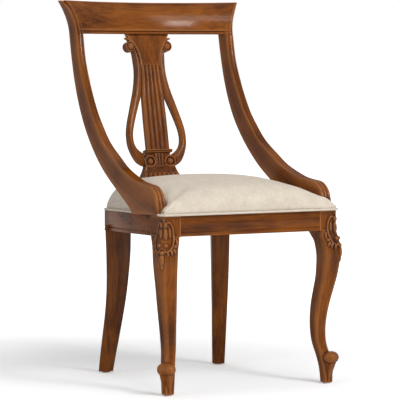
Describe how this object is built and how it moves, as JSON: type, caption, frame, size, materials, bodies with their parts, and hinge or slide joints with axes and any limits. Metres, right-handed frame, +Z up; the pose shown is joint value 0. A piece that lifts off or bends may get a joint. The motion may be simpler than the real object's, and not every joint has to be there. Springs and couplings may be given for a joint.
{
  "type": "lyre back dining chair",
  "caption": "Wooden dining chair with a lyre back, swept stiles, cabriole front legs, sabre rear legs and an upholstered seat.",
  "frame": {"origin": "on the floor, under the middle of the chair's box", "axes": "+Z up, -Y towards the chair's front, +X towards the right of someone who looks at its front"},
  "size_m": [0.5088, 0.5836, 0.93],
  "materials": {
    "mahogany": "semi-gloss stained",
    "blocks": "sawn",
    "plywood": "plain",
    "foam": "open foam",
    "linen": "plain weave",
    "dust_cloth": "thin black cloth",
    "steel": "zinc plated",
    "dowel": "plain beech",
    "glide": "matt"
  },
  "bodies": {
    "root": {"crest_rail": "mahogany", "left_stile": "mahogany", "right_stile": "mahogany", "lyre_panel": "mahogany", "lyre_arm_left": "mahogany", "lyre_arm_right": "mahogany", "lyre_collar": "mahogany", "lyre_base": "mahogany", "front_rail": "mahogany", "rear_rail": "mahogany", "left_side_rail": "mahogany", "right_side_rail": "mahogany", "front_left_leg": "mahogany", "front_right_leg": "mahogany", "rear_left_leg": "mahogany", "rear_right_leg": "mahogany", "corner_block_front_left": "blocks", "corner_block_front_right": "blocks", "corner_block_rear_left": "blocks", "corner_block_rear_right": "blocks", "seat_board": "plywood", "seat_foam": "foam", "seat_cover": "linen", "seat_welt": "linen", "dust_cover": "dust_cloth", "corner_block_screws": "steel", "seat_screws": "steel", "crest_screws": "steel", "stile_dowels": "dowel", "foot_glides": "glide"}
  },
  "joints": []
}
